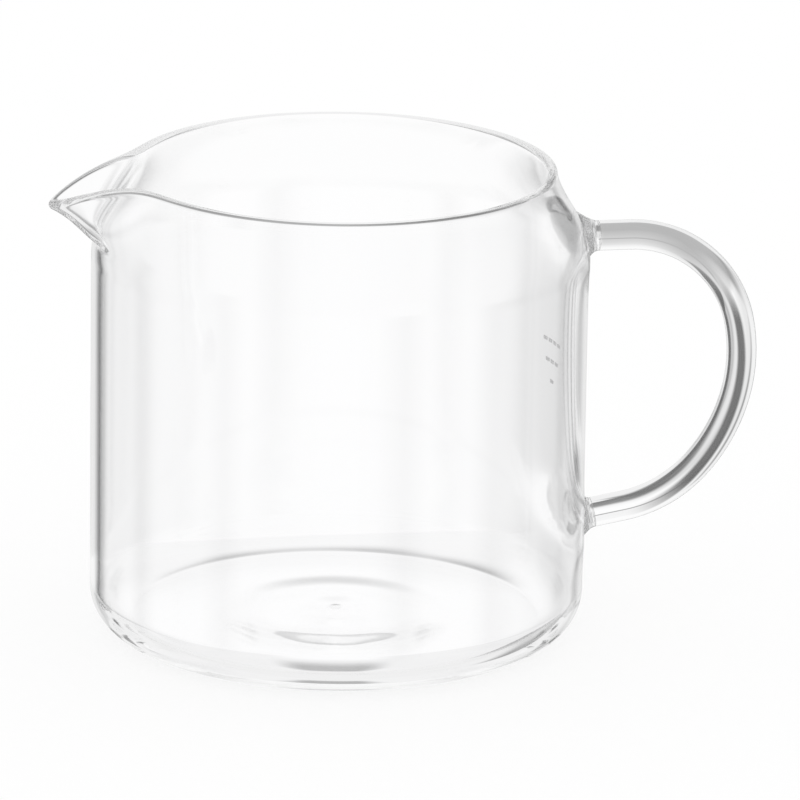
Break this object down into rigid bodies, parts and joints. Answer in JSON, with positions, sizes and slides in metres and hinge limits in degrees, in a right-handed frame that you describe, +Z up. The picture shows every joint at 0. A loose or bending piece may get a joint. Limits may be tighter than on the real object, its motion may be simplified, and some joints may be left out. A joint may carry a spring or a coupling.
{
  "type": "tea serving pitcher",
  "caption": "Clear glass tea serving pitcher with a straight round body, a drawn pouring spout and a welded glass rod handle.",
  "frame": {"origin": "on the vessel's axis, at the flat face it stands on", "axes": "+Z up along the vessel's axis, +X towards the handle, the spout along -X"},
  "size_m": [0.1232, 0.085, 0.082],
  "materials": {
    "vessel_glass": "clear fire-polished blown borosilicate glass",
    "handle_glass": "clear drawn borosilicate glass rod",
    "weld_glass": "clear flame-welded borosilicate glass",
    "mark_enamel": "grey fired enamel"
  },
  "bodies": {
    "root": {"vessel": "vessel_glass", "handle": "handle_glass", "upper_weld": "weld_glass", "lower_weld": "weld_glass", "wall_marks": "mark_enamel"}
  },
  "joints": []
}
